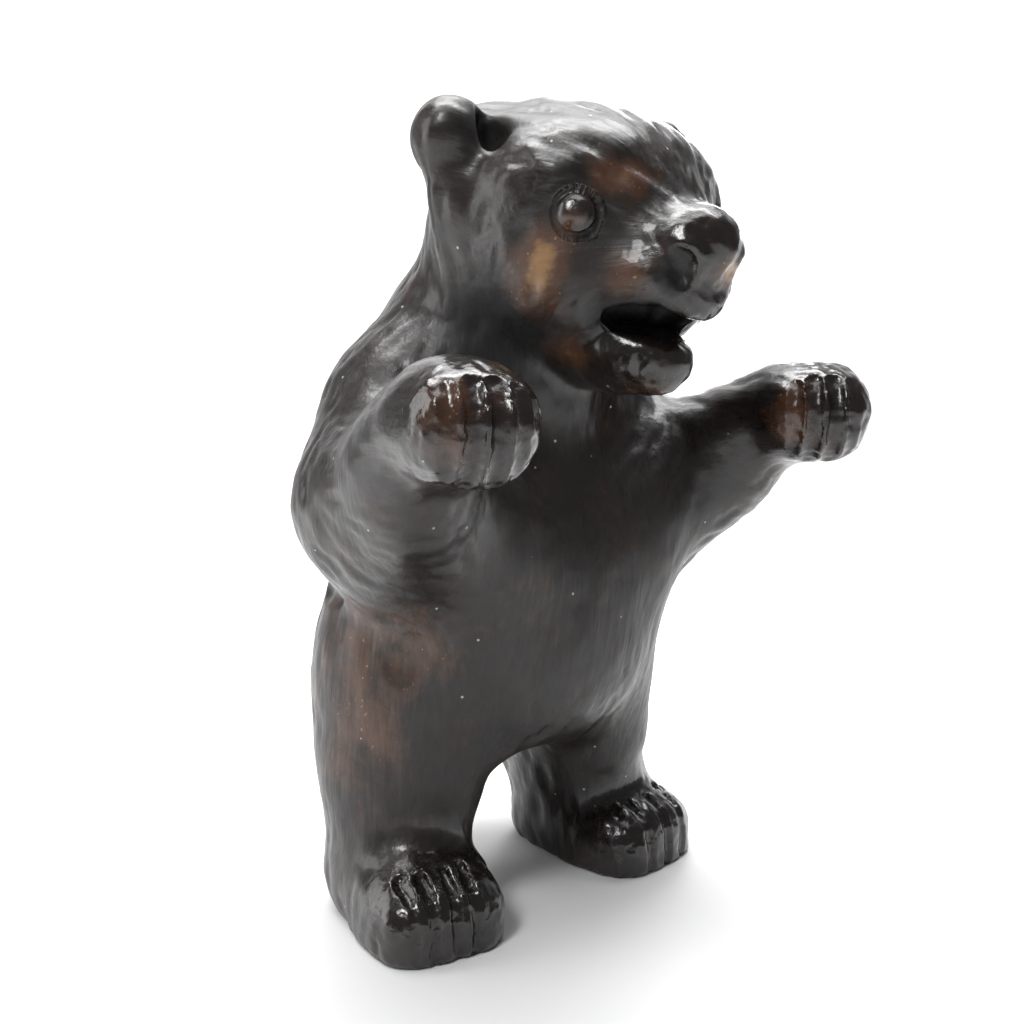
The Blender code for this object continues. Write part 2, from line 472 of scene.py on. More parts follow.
@dataclass
class Arm:
    """A raised arm with a web of flank under it and a drooping, scored paw.

    Attributes:
        side: RIGHT or LEFT.
        turn: Degrees by which the paw turns about the upright axis.
        paw: Middle of the paw.
        droop: Degrees by which the fingers hang down.
        groove: Width and depth of a groove.
        groove_count: Number of grooves.
        groove_pitch: Spacing of the grooves.
    """

    side: int
    turn: float
    paw: tuple[float, float, float]
    droop: float = 20.0
    groove: tuple[float, float] = (2.3, 2.5)
    groove_count: int = 4
    groove_pitch: float = 4.9

    def model(self, form: Form) -> None:
        """Build the arm from the shoulder to the fingers.

        Args:
            form: The clay to work on.
        """
        side = self.side
        form.add(Limb((side * 29.5, 5, 122, 19.5), (side * 41, -1, 104, 18.5)), 12)
        form.add(Ellipsoid((side * 26, -8, 95), (15, 24, 22)), 16)
        forearm = ((side * 40, -6, 100, 16), (side * 48, -26, 113, 15), (side * 53, -43, 122.5, 12.5))
        form.add(Limb(*forearm), 14)
        form.add(Limb((side * 36, -11, 94, 12.5), (side * 49, -30, 104, 8)), 12)
        form.place = Place(turned(z=self.turn, x=self.droop), np.array(self.paw))
        form.add(Ellipsoid((0, 0, 0), (13.5, 13.5, 12), power=2.3), 6)
        for i in range(self.groove_count):
            x = (i - 0.5 * (self.groove_count - 1)) * self.groove_pitch
            stations = ((x, -7, 11, 0), (x, -12, 5, 0), (x, -13, -3, 0), (x, -11, -9, 0))
            form.score(Limb(*stations, steps=2), *self.groove)
        form.place = Place()


@dataclass
class Head:
    """Skull, muzzle, open mouth, ears, nostrils and eyes.

    Attributes:
        shift: Offset of the whole head from the middle plane.
        eye_ring: Radius of the groove round an eye.
        eye_groove: Width and depth of that groove.
        eye_bead: Radius of the ball of the eye.
        eye_sunk: How far the ball's centre lies under the surface.
        ears: Middle of the rim of each ear.
    """

    shift: tuple[float, float, float] = HEAD_SHIFT
    eye_ring: float = 4.8
    eye_groove: tuple[float, float] = (1.1, 1.1)
    eye_bead: float = 4.8
    eye_sunk: float = 2.7
    ears: dict = field(
        default_factory=lambda: {RIGHT: (-30.5, -15.0, 185.0), LEFT: (31.8, -17.5, 188.0)}
    )

    def model(self, form: Form) -> None:
        """Build the whole head.

        Args:
            form: The clay to work on.
        """
        form.place = Place(np.eye(3), np.array(self.shift))
        form.add(Ellipsoid((0, -18, 168), (32.5, 29.5, 28.5)), 8)
        form.add(Ellipsoid((0, -36, 172), (29, 18, 17.5)), 8)
        form.add(Limb((0, -40, 161, 17), (0, -53, 157.5, 13)), 10)
        for side in SIDES:
            form.add(Ellipsoid((side * 14, -34, 154), (14, 16, 15)), 8)
            form.add(Ellipsoid((side * 7, -49, 152), (9, 12, 7)), 6)
        form.add(Ellipsoid((0, -58, 150), (8, 8, 8)), 4)
        form.add(Ellipsoid((0, -61, 159), (10, 9, 9)), 3)
        self.mouth(form)
        for side in SIDES:
            self.ear(form, side)
            self.nostril(form, side)
            self.eye(form, side)
        form.place = Place()

    def mouth(self, form: Form) -> None:
        """Add the lower jaw, open the mouth above it and lay the tongue in it.

        Args:
            form: The clay to work on.
        """
        form.add(Limb((0, -28, 145, 14), (0, -40, 139.5, 12), (0, -50, 135, 7.5)), 4)
        form.cut(Ellipsoid((0, -56, 141.5), (13, 18, 3.2), turned(x=16)), 3)
        form.cut(Ellipsoid((0, -49, 146), (13.5, 11, 5.2), turned(x=6)), 2.5)
        form.add(Ellipsoid((0, -43, 138), (10.5, 12.5, 5), turned(x=12)), 4)

    def eye(self, form: Form, side: int) -> None:
        """Draw a ring and set the bead of the eye in it.

        Args:
            form: The clay to work on.
            side: RIGHT or LEFT.
        """
        centre = np.array((side * 21.8, -47.2, 165.5))
        axis = np.array((side * 0.6, -0.8, 0.0))
        form.score(Ring(centre, axis, self.eye_ring, 0.0), *self.eye_groove)
        form.add(Ellipsoid(centre - self.eye_sunk * axis, (self.eye_bead,) * 3), 0.5)

    def nostril(self, form: Form, side: int) -> None:
        """Hollow one nostril."""
        form.cut(Ellipsoid((side * 9.6, -65.2, 153.8), (3.4, 3.4, 4.8), turned(y=side * 25)), 0.8)

    def ear(self, form: Form, side: int) -> None:
        """Build one cupped ear that runs down into the neck.

        Args:
            form: The clay to work on.
            side: RIGHT or LEFT.
        """
        x, y, z = self.ears[side]
        form.add(Limb((x - side * 2.5, y + 6, z, 6.5), (side * 14, -8, 187.5, 8)), 5)
        lobe = ((x, y, z, 8.5), (x - side * 2, y, z - 13, 5.5), (x - side * 7, y + 1, z - 27, 3))
        form.add(Limb(*lobe), 6)
        hollow = Ellipsoid((x - side * 5, y - 8, z + 1), (3.2, 6.5, 6.5), turned(z=side * 12))
        form.cut(hollow, 2)


@dataclass
class ToolMarks:
    """Small marks that only the visual model carries, as lines pressed or raised.

    Attributes:
        lines: Points of each line, its width and its depth; a negative depth raises it.
        nostril_rim: Radius, width and depth of the rim round a nostril.
        nose_valley: Width and depth of the valley beside the nose pad.
    """

    lines: tuple = (
        (((43.0, -50.5, 130.5), (40.5, -52.0, 132.5), (40.0, -49.5, 132.0)), 0.9, 0.8),
        (((-39.3, -14.3, 70.1), (-40.5, -10.5, 66.0)), 5.0, 0.9),
        (((-46.0, 8.0, 80.0), (-41.0, 20.0, 78.5)), 3.0, 0.9),
        (((-33.5, -14.0, 172.0), (-30.0, -12.5, 160.0), (-28.0, -12.0, 148.0)), 3.0, -0.7),
        (((-15.0, -28.5, 104.5), (-12.0, -30.0, 104.8)), 1.0, 0.7),
        (((-10.5, -30.5, 103.5), (-8.5, -31.0, 104.2)), 0.9, 0.7),
        (((-34.0, -30.0, 172.5), (-26.0, -41.0, 174.5), (-17.0, -49.0, 176.0)), 3.5, -0.6),
    )
    nostril_rim: tuple[float, float, float] = (5.0, 1.8, -0.4)
    nose_valley: tuple[float, float] = (3.0, 0.6)

    def model(self, form: Form) -> None:
        """Add creases, pits, nostril rims and the edge of the nose pad.

        Args:
            form: The clay to work on.
        """
        for points, width, depth in self.lines:
            form.score(Limb(*((*point, 0.0) for point in points)), width, depth)
        form.place = Place(np.eye(3), np.array(HEAD_SHIFT))
        for side in SIDES:
            self.face(form, side)
        form.place = Place()

    def face(self, form: Form, side: int) -> None:
        """Mark one side of the face.

        Args:
            form: The clay to work on.
            side: RIGHT or LEFT.
        """
        nostril = (side * 9.6, -65.2, 153.8)
        outwards = np.array((side * 0.62, -0.78, -0.05))
        radius, width, depth = self.nostril_rim
        form.score(Ring(nostril, outwards, radius, 0.0), width, depth)
        top = (side * 5.6, -66.5, 161.5, 0)
        valley = (top, (side * 4.4, -68.5, 156, 0), (side * 1.8, -67, 149.5, 0))
        form.score(Limb(*valley), *self.nose_valley)


@dataclass
class FurStrokes:
    """Short combed strokes pressed into the clay along the lie of the fur.

    Attributes:
        count: Number of strokes.
        seed: Seed of their random places.
        depth: Depth of a stroke at full strength.
        faintest: Strokes shallower than this are left out.
        widths: Least and greatest half width.
        reaches: Least and greatest length.
        strengths: Least and greatest share of the depth.
        step: Spacing of the points along a stroke.
        guides: Points with the direction in which the fur lies there. One that is off the
            middle plane stands for both sides.
    """

    count: int = 5600
    seed: int = 11
    depth: float = 0.34
    faintest: float = 0.02
    widths: tuple[float, float] = (1.1, 1.8)
    reaches: tuple[float, float] = (5.0, 11.0)
    strengths: tuple[float, float] = (0.5, 1.2)
    step: float = 0.8
    guides: tuple = (
        ((0, -70, 160), (0, 0.6, 0.8)),
        ((0, -45, 183), (0, 1, 0.35)),
        ((0, -20, 197), (0, 1, 0)),
        ((0, 10, 185), (0, 0.6, -1)),
        ((-22, -50, 172), (-0.35, 0.8, 0.4)),
        ((-25, -35, 180), (-0.2, 1, 0.4)),
        ((-28, -35, 158), (-0.2, 0.6, -0.8)),
        ((-32, -14, 165), (0.1, 0.1, -1)),
        ((-28, 0, 145), (-0.4, 0.3, -1)),
        ((0, -35, 125), (0, 0, -1)),
        ((-25, -25, 112), (0.6, -0.3, -0.6)),
        ((0, -34, 95), (0.15, 0, -1)),
        ((-40, -10, 90), (0.7, -0.5, -0.5)),
        ((-50, -20, 118), (-0.1, -1, 0.4)),
        ((-54, -45, 125), (-0.1, -1, 0.1)),
        ((-48, 8, 110), (0, 0.2, -1)),
        ((-46, 10, 70), (0.1, 0.1, -1)),
        ((-22, -30, 60), (-0.3, 0, -1)),
        ((0, 36, 130), (0, 0.2, -1)),
        ((0, 48, 80), (0, 0, -1)),
        ((-25, 40, 60), (-0.2, 0, -1)),
        ((-32, 0, 25), (0, -0.3, -1)),
    )

    def both_sides(self) -> tuple[np.ndarray, np.ndarray]:
        """Mirror the guides that lie off the middle plane.

        Returns:
            The points and their unit directions.
        """
        pairs = []
        for pair in np.array(self.guides, float):
            pairs.append(pair)
            if pair[0, 0] != 0.0:
                pairs.append(pair * np.array((-1.0, 1.0, 1.0)))
        where, heading = np.swapaxes(np.array(pairs), 0, 1)
        return where, heading / length(heading)[:, None]

    def directions(self, points: np.ndarray, normals: np.ndarray) -> np.ndarray:
        """Lay the fur over the surface.

        Args:
            points: Surface points.
            normals: Their outward normals.

        Returns:
            Unit directions in the surface.
        """
        flow = np.zeros_like(points)
        for spot, way in zip(*self.both_sides()):
            gap = length(points - spot)
            flow += (1.0 / (gap ** 3 + 60.0))[:, None] * way
        flow -= np.einsum("ij,ij->i", flow, normals)[:, None] * normals
        return flow / np.maximum(length(flow), 1e-9)[:, None]

    def press(self, points: np.ndarray, normals: np.ndarray, share: np.ndarray) -> np.ndarray:
        """Work out how deep each point is pressed.

        Args:
            points: Surface points.
            normals: Their outward normals.
            share: How much fur shows at each point, from 0 to 1.

        Returns:
            A depth for each point.
        """
        tree = kdtree.KDTree(len(points))
        for i, p in enumerate(points):
            tree.insert(p, i)
        tree.balance()
        flow = self.directions(points, normals)
        draw = random.Random(self.seed)
        depth = np.zeros(len(points))
        for _ in range(self.count):
            row = draw.randrange(len(points))
            width = draw.uniform(*self.widths)
            reach = draw.uniform(*self.reaches)
            deep = self.depth * draw.uniform(*self.strengths) * share[row]
            if deep < self.faintest:
                continue
            spot = points[row].copy()
            steps = int(reach / self.step)
            touched: dict[int, float] = {}
            for k in range(steps):
                fade = math.sin(math.pi * (k + 0.5) / steps)
                for _, near, gap in tree.find_range(spot, width * 1.6):
                    press = deep * fade * math.exp(-((gap / width) ** 2) * 1.6)
                    touched[near] = max(touched.get(near, 0.0), press)
                    row = near if gap < width * 0.5 else row
                spot = spot + flow[row] * self.step
                row = tree.find(spot)[1]
                spot = np.array(points[row]) * 0.3 + spot * 0.7
            for near, press in touched.items():
                depth[near] += press
        return np.minimum(depth, self.depth * 2.2)


@dataclass(frozen=True)
class Patch:
    """A place where the glaze has broken to a warmer brown.

    Attributes:
        centre: Middle of the patch.
        radii: Its reach along each axis.
        strength: How warm it is, from 0 to 1.
    """

    centre: tuple[float, float, float]
    radii: tuple[float, float, float]
    strength: float


WARM_PATCHES = (
    Patch((-12.0, -52.5, 173.0), (8, 8, 4.5), 1.0),
    Patch((-24.5, -42.5, 156.5), (5, 6, 8), 1.1),
    Patch((-22.5, -48.5, 164.0), (2.5, 3.0, 2.5), 0.5),
    Patch((-13.5, -56.0, 153.0), (4, 7, 5), 0.8),
    Patch((4.5, -68.0, 153.5), (5, 4, 3.2), 1.3),
    Patch((-26.0, -35.0, 147.0), (5, 7, 9), 0.8),
    Patch((-14.0, -36.0, 137.0), (8, 8, 7), 0.7),
    Patch((-47.0, -4.0, 58.0), (9, 20, 24), 0.6),
    Patch((-44.0, 8.0, 88.0), (8, 12, 16), 0.4),
    Patch((-37.0, -17.0, 72.0), (8, 8, 12), 0.4),
    Patch((40.0, -56.0, 122.0), (6, 6, 10), 0.9),
    Patch((-62.0, -62.0, 126.0), (5, 6, 10), 0.6),
    Patch((-1.0, -51.0, 130.0), (9, 6, 4), 0.5),
    Patch((-10.0, -33.0, 84.0), (14, 8, 12), 0.2),
    Patch((36.0, -20.0, 60.0), (10, 10, 12), 0.3),
)

# Blobs, each a middle and its reach: thick wet glaze on muzzle, jaw, paws, feet and eyes
WET_BLOBS = (
    ((1.5, -62, 153), 15.0),
    ((1.5, -50, 140), 12.0),
    ((-54, -60, 124), 17.0),
    ((54, -58, 124), 17.0),
    ((-38, -22, 8), 20.0),
    ((36, -18, 8), 20.0),
    (EYES[0], 4.0),
    (EYES[1], 4.0),
)

# Painted shade: near black colour in mouth, nostrils, ears and at the throat, where shade falls
PAINTED_SHADE_BLOBS = (
    ((1.5, -48, 146.5), (14, 12, 5.5)),
    ((-8.1, -63.2, 153.0), (3.2, 3.2, 4.5)),
    ((11.1, -63.2, 153.0), (3.2, 3.2, 4.5)),
    ((-25.5, -21, 186), (5, 6, 6)),
    ((27.5, -24, 188), (5, 6, 6)),
    ((-22, -23, 142), (10, 14, 13)),
    ((22, -23, 142), (10, 14, 13)),
)

# Fur rubbed down to satin on belly, thighs and cheeks
SATIN_BLOBS = (
    ((0, -34, 88), (36, 30, 34)),
    ((-38, -8, 50), (27, 32, 34)),
    ((38, -8, 50), (27, 32, 34)),
    ((-20, -50, 158), (13, 18, 10)),
    ((22, -50, 158), (13, 18, 10)),
)


def blob_mask(points: np.ndarray, blobs: tuple, edge: float, fade: float) -> np.ndarray:
    """Cover points with soft-edged blobs.

    Args:
        points: Surface points in form units.
        blobs: Pairs of a middle and a reach, which is one number or one for each axis.
        edge: Where the mask reaches 0, as a share of the reach.
        fade: Width of the soft edge, as a share of the reach.

    Returns:
        A share from 0 to 1 for each point.
    """
    mask = np.zeros(len(points))
    for centre, reach in blobs:
        gap = length((points - np.array(centre, float)) / np.array(reach, float))
        mask = np.maximum(mask, np.clip((edge - gap) / fade, 0.0, 1.0))
    return mask


@dataclass
class BearSkin:
    """The visible surface of the sculpture.

    Attributes:
        voxel: Cell of the remesh, in form units.
        fine_zones: Boxes, given on the left side, inside which the mesh is split.
        settle_rounds: How often the surface is drawn onto the form.
        lump_depth: Height of the hand-modelled unevenness.
        strand_start: The point in front of the nose that the head's strands run away from.
        strand_spread: How closely those strands are spaced.
        strand_stretch: How much the strands change along their length, on head and body.
        strokes: The combed fur.
    """

    voxel: float = 1.25
    fine_zones: tuple = (
        ((-1, -80, 128), (31, -39, 177)),
        ((34, -80, 105), (75, -53, 138)),
        ((12, -50, 1.5), (60, -15, 20)),
        ((14, -56, 158), (30, -40, 173)),
    )
    settle_rounds: int = 6
    lump_depth: float = 0.22
    strand_start: tuple[float, float, float] = (1.5, -74.0, 158.0)
    strand_spread: float = 34.0
    strand_stretch: tuple[float, float] = (0.1, 0.11)
    strokes: FurStrokes = field(default_factory=FurStrokes)

    def build(self, form: Form) -> bpy.types.Object:
        """Make the skin.

        Args:
            form: The modelled clay.

        Returns:
            The mesh object, in metres and in the frame of the solids.
        """
        skin = self._copy_of_solid()
        self._open_hollows(skin, form)
        self._remesh(skin)
        self._refine(skin)
        points = self._points(skin)
        for _ in range(self.settle_rounds):
            points = self._settled(points, form)
        normals = form.gradient(points)
        normals /= np.maximum(length(normals), 1e-9)[:, None]
        masks = {
            "wet": blob_mask(points, WET_BLOBS, 1.25, 0.5),
            "satin": blob_mask(points, SATIN_BLOBS, 1.2, 0.5),
            # hollow is painted shade: near black in hollows, grooves and at the throat
            "hollow": self._painted_shade_mask(points, form),
        }
        for name, mask in masks.items():
            self._attribute(skin, name, mask)
        self._mark(skin, points)
        above_sole = np.clip((points[:, 2] - 0.3) / 1.5, 0.0, 1.0)
        fur = (1.0 - 0.85 * masks["wet"]) * (1.0 - 0.65 * masks["satin"])
        fur *= self._fur_round_eyes(points)
        press = self.strokes.press(points, normals, fur * above_sole)
        offset = self._lumps(points, masks["wet"]) * above_sole - press
        points = points + offset[:, None] * normals
        self._store(skin, points)
        return skin

    def _copy_of_solid(self) -> bpy.types.Object:
        """Copy the solid's mesh, welded, in form units.

        Returns:
            The mesh object.
        """
        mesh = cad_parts["bear"].data.copy()
        skin = bpy.data.objects.new("bear_sculpture", mesh)
        bpy.context.scene.collection.objects.link(skin)
        mesh.transform(Matrix.Scale(1.0 / UNIT, 4))
        mesh.transform(Matrix.Translation((FORM_CENTRE[0], FORM_CENTRE[1], 0.0)))
        work = bmesh.new()
        work.from_mesh(mesh)
        bmesh.ops.remove_doubles(work, verts=work.verts, dist=0.001)
        work.to_mesh(mesh)
        work.free()
        mesh.materials.clear()
        return skin

    def _open_hollows(self, skin: bpy.types.Object, form: Form) -> None:
        """Cut the hollows of the head out of the mesh, so that no face spans them.

        Args:
            skin: The mesh object.
            form: The modelled clay, whose cuts are used.
        """
        for tool, shape, _ in form.steps:
            if tool is not Tool.CUT or not isinstance(shape, Ellipsoid) or shape.centre[2] < 100.0:
                continue
            bpy.ops.mesh.primitive_uv_sphere_add(segments=32, ring_count=16, radius=1.0)
            ball = bpy.context.object
            spread = Matrix(shape.turn.tolist()).to_4x4() @ Matrix.Diagonal((*shape.radii, 1.0))
            ball.data.transform(Matrix.Translation(shape.centre.tolist()) @ spread)
            modifier = skin.modifiers.new("Hollow", "BOOLEAN")
            modifier.operation = "DIFFERENCE"
            modifier.solver = "EXACT"
            modifier.object = ball
            bpy.context.view_layer.objects.active = skin
            bpy.ops.object.modifier_apply(modifier=modifier.name)
            bpy.data.objects.remove(ball)

    def _remesh(self, skin: bpy.types.Object) -> None:
        """Give the skin an even mesh.

        Args:
            skin: The mesh object.
        """
        modifier = skin.modifiers.new("Even", "REMESH")
        modifier.mode = "VOXEL"
        modifier.voxel_size = self.voxel
        bpy.context.view_layer.objects.active = skin
        bpy.ops.object.modifier_apply(modifier=modifier.name)

    def _refine(self, skin: bpy.types.Object) -> None:
        """Split the faces inside the fine zones, zone by zone.

        Args:
            skin: The mesh object.
        """
        work = bmesh.new()
        work.from_mesh(skin.data)
        for low, high in self.fine_zones:
            chosen = []
            for edge in work.edges:
                middle = (edge.verts[0].co + edge.verts[1].co) / 2.0
                place = (abs(middle.x), middle.y, middle.z)
                if all(a < v < b for a, v, b in zip(low, place, high)):
                    chosen.append(edge)
            bmesh.ops.subdivide_edges(work, edges=chosen, cuts=1, use_grid_fill=True)
            bmesh.ops.triangulate(work, faces=[f for f in work.faces if len(f.verts) > 4])
        work.to_mesh(skin.data)
        work.free()

    @staticmethod
    def _points(skin: bpy.types.Object) -> np.ndarray:
        """Read the skin's points.

        Args:
            skin: The mesh object.

        Returns:
            Points, one per row.
        """
        flat = np.empty(len(skin.data.vertices) * 3)
        skin.data.vertices.foreach_get("co", flat)
        return flat.reshape(-1, 3)

    @staticmethod
    def _settled(points: np.ndarray, form: Form) -> np.ndarray:
        """Draw points along the slope onto the form.

        Args:
            points: Surface points in form units.
            form: The modelled clay.

        Returns:
            The moved points.
        """
        value = form.value(points)
        slope = form.gradient(points)
        size = np.maximum((slope ** 2).sum(axis=1), 0.25)
        return points - np.clip(value / size, -1.0, 1.0)[:, None] * slope

    @staticmethod
    def _painted_shade_mask(points: np.ndarray, form: Form) -> np.ndarray:
        """Say where shade is painted near black, in hollows, at the throat and in the grooves of
        paws, toes and eyes.

        Args:
            points: Surface points in form units.
            form: The modelled clay, whose deep grooves are used.

        Returns:
            A share from 0 to 1 for each point.
        """
        hollow = blob_mask(points, PAINTED_SHADE_BLOBS, 1.4, 0.7)
        for tool, shape, amount in form.steps:
            if tool is Tool.SCORE and amount[1] >= 1.0:
                groove = np.exp(-((shape.distance(points) / (0.5 * amount[0])) ** 2))
                hollow = np.maximum(hollow, 0.9 * groove)
        return hollow

    @staticmethod
    def _fur_round_eyes(points: np.ndarray) -> np.ndarray:
        """Let the fur fade out towards the eyes.

        Args:
            points: Surface points in form units.

        Returns:
            A share from 0 to 1 for each point.
        """
        share = np.ones(len(points))
        for eye in EYES:
            gap = length(points - np.array(eye))
            share = np.minimum(share, np.clip((gap - 6.5) / 5.0, 0.0, 1.0))
        return share

    def _lumps(self, points: np.ndarray, wet: np.ndarray) -> np.ndarray:
        """Work out the unevenness of hand-modelled clay, livelier under the thick glaze.

        Args:
            points: Surface points in form units.
            wet: Where the glaze is thick and smooth.

        Returns:
            A height for each point.
        """
        coarse = np.array([noise.noise(Vector(p) * 0.11) for p in points])
        middle = np.array([noise.noise(Vector(p) * 0.27) for p in points])
        small = np.array([noise.noise(Vector(p) * 0.55) for p in points])
        calm = self._fur_round_eyes(points)
        return self.lump_depth * (coarse + (0.5 + 0.7 * wet) * middle + 1.0 * wet * calm * small)

    def _mark(self, skin: bpy.types.Object, points: np.ndarray) -> None:
        """Store where the glaze is warm, and how the strands run on head, body and arms.

        Args:
            skin: The mesh object.
            points: Surface points in form units.
        """
        warm = np.zeros(len(points))
        for patch in WARM_PATCHES:
            gap = length((points - np.array(patch.centre)) / np.array(patch.radii))
            warm += patch.strength * np.exp(-(gap ** 2))
        head = np.clip((points[:, 2] - 138.0 + 0.25 * (-points[:, 1] - 20.0)) / 14.0, 0.0, 1.0)
        arm = np.clip((-points[:, 1] - 26.0) / 12.0, 0.0, 1.0)
        arm *= np.clip((np.abs(points[:, 0]) - 30.0) / 8.0, 0.0, 1.0) * (1.0 - head)
        arm *= np.clip((points[:, 2] - 88.0) / 10.0, 0.0, 1.0)
        away = points - np.array(self.strand_start)
        reach = length(away)
        strand_head = away / reach[:, None] * self.strand_spread
        strand_head += self.strand_stretch[0] * reach[:, None]
        strand_body = points * np.array((1.0, 1.0, self.strand_stretch[1]))
        strand_body[:, 0] += 0.35 * np.sin(points[:, 2] * 0.05) * 8.0
        strand_arm = points * np.array((1.0, self.strand_stretch[1], 1.0))
        self._attribute(skin, "warm", warm)
        self._attribute(skin, "head_share", head)
        self._attribute(skin, "arm_share", arm)
        self._attribute(skin, "strand_head", strand_head)
        self._attribute(skin, "strand_body", strand_body)
        self._attribute(skin, "strand_arm", strand_arm)

    @staticmethod
    def _attribute(skin: bpy.types.Object, name: str, values: np.ndarray) -> None:
        """Store one value or vector for each point.

        Args:
            skin: The mesh object.
            name: Name of the attribute.
            values: Values or vectors.
        """
        kind = "FLOAT" if values.ndim == 1 else "FLOAT_VECTOR"
        key = "value" if values.ndim == 1 else "vector"
        layer = skin.data.attributes.new(name, kind, "POINT")
        layer.data.foreach_set(key, np.ascontiguousarray(values, dtype=np.float32).ravel())

    @staticmethod
    def _store(skin: bpy.types.Object, points: np.ndarray) -> None:
        """Write the points back in metres, with the soles level.

        Args:
            skin: The mesh object.
            points: Surface points in form units.
        """
        points = points.copy()
        points[points[:, 2] < 0.15, 2] = 0.0
        points[:, :2] -= np.array(FORM_CENTRE)
        skin.data.vertices.foreach_set("co", (points * UNIT).ravel())
        skin.data.update()
        skin.data.shade_smooth()


def node_group(
    name: str, inputs: dict[str, str], outputs: tuple[str, ...]
) -> tuple[bpy.types.NodeTree, bpy.types.Node, bpy.types.Node]:
    """Start a node group whose outputs are single values.

    Args:
        name: Name of the group.
        inputs: Kind of each input by its name, Float or Vector.
        outputs: Names of the outputs.

    Returns:
        The group, its input node and its output node.
    """
    tree = bpy.data.node_groups.new(name, "ShaderNodeTree")
    for label, kind in inputs.items():
        tree.interface.new_socket(label, in_out="INPUT", socket_type="NodeSocket" + kind)
    for label in outputs:
        tree.interface.new_socket(label, in_out="OUTPUT", socket_type="NodeSocketFloat")
    return tree, tree.nodes.new("NodeGroupInput"), tree.nodes.new("NodeGroupOutput")


def noise_node(
    tree: bpy.types.NodeTree,
    place: bpy.types.NodeSocket,
    scale: float,
    detail: float = 2.0,
    roughness: float = 0.5,
) -> bpy.types.Node:
    """Add a Noise Texture node.

    Args:
        tree: Node tree.
        place: Where the noise is read.
        scale: Its scale.
        detail: How many finer layers it has.
        roughness: How strong they are.

    Returns:
        The node.
    """
    node = tree.nodes.new("ShaderNodeTexNoise")
    tree.links.new(place, node.inputs["Vector"])
    node.inputs["Scale"].default_value = scale
    node.inputs["Detail"].default_value = detail
    node.inputs["Roughness"].default_value = roughness
    return node


@dataclass(frozen=True)
class StrandBump:
    """Node group that draws fine combed strands along a stretched vector."""

    name: str = "Fur strands"

    def group(self) -> bpy.types.NodeTree:
        """Build the group, or find it again.

        Returns:
            A group from a strand vector to a height.
        """
        if self.name in bpy.data.node_groups:
            return bpy.data.node_groups[self.name]
        kinds = {"Strand": "Vector", "Scale": "Float"}
        tree, start, end = node_group(self.name, kinds, ("Height",))
        fibre = noise_node(tree, start.outputs["Strand"], 1.0, detail=4.0, roughness=0.62)
        tree.links.new(start.outputs["Scale"], fibre.inputs["Scale"])
        tree.links.new(fibre.outputs["Fac"], end.inputs["Height"])
        return tree


@dataclass(frozen=True)
class GlazeBreak:
    """Node group that breaks the glaze to brown where it runs thin.

    Attributes:
        name: Name of the group.
        cloud_scale: Clouds per metre.
    """

    name: str = "Glaze break"
    cloud_scale: float = 95.0

    def group(self) -> bpy.types.NodeTree:
        """Build the group, or find it again.

        Returns:
            A group from a warmth and a strand height to masks of brown and ochre and a cloud.
        """
        if self.name in bpy.data.node_groups:
            return bpy.data.node_groups[self.name]
        kinds = {"Warmth": "Float", "Strands": "Float"}
        tree, start, end = node_group(self.name, kinds, ("Brown", "Ochre", "Cloud"))
        place = tree.nodes.new("ShaderNodeTexCoord").outputs["Object"]
        cloud = noise_node(tree, place, self.cloud_scale, detail=5.0, roughness=0.6)
        mottle = math_node(tree, "MULTIPLY_ADD", cloud.outputs["Fac"], 1.5, -0.75)
        fibres = math_node(tree, "MULTIPLY_ADD", start.outputs["Strands"], 0.5, -0.25)
        total = math_node(tree, "ADD", start.outputs["Warmth"], mottle)
        total = math_node(tree, "ADD", total, fibres)
        brown = range_node(tree, total, 0.12, 0.75)
        ochre = range_node(tree, total, 0.75, 1.3)
        tree.links.new(brown, end.inputs["Brown"])
        tree.links.new(ochre, end.inputs["Ochre"])
        tree.links.new(cloud.outputs["Fac"], end.inputs["Cloud"])
        return tree


@dataclass(frozen=True)
class GlazeGrains:
    """Node group that scatters golden grains and a few pale specks in the glaze.

    Attributes:
        name: Name of the group.
        grain_scale: Grains per metre.
        speck_scale: Specks per metre.
        speck_size: Size of a speck, as a share of its spacing.
    """

    name: str = "Glaze grains"
    grain_scale: float = 900.0
    speck_scale: float = 130.0
    speck_size: float = 0.05

    def group(self) -> bpy.types.NodeTree:
        """Build the group, or find it again.

        Returns:
            A group with a mask of grains and a mask of specks.
        """
        if self.name in bpy.data.node_groups:
            return bpy.data.node_groups[self.name]
        tree, _, end = node_group(self.name, {}, ("Grain", "Speck"))
        place = tree.nodes.new("ShaderNodeTexCoord").outputs["Object"]
        grain = noise_node(tree, place, self.grain_scale, detail=1.0)
        tree.links.new(range_node(tree, grain.outputs["Fac"], 0.7, 0.78), end.inputs["Grain"])
        speck = tree.nodes.new("ShaderNodeTexVoronoi")
        speck.inputs["Scale"].default_value = self.speck_scale
        tree.links.new(place, speck.inputs["Vector"])
        low, high = 0.7 * self.speck_size, self.speck_size
        mask = range_node(tree, speck.outputs["Distance"], low, high, 0.9, 0.0)
        tree.links.new(mask, end.inputs["Speck"])
        return tree


def math_node(
    tree: bpy.types.NodeTree,
    operation: str,
    a: bpy.types.NodeSocket | float,
    b: bpy.types.NodeSocket | float = 0.0,
    c: bpy.types.NodeSocket | float = 0.0,
    clamp: bool = False,
) -> bpy.types.NodeSocket:
    """Add a Math node.

    Args:
        tree: Node tree.
        operation: Math operation.
        a: First input.
        b: Second input.
        c: Third input.
        clamp: Whether the result stays from 0 to 1.

    Returns:
        The result socket.
    """
    node = tree.nodes.new("ShaderNodeMath")
    node.operation = operation
    node.use_clamp = clamp
    for slot, given in enumerate((a, b, c)):
        if isinstance(given, bpy.types.NodeSocket):
            tree.links.new(given, node.inputs[slot])
        else:
            node.inputs[slot].default_value = given
    return node.outputs[0]


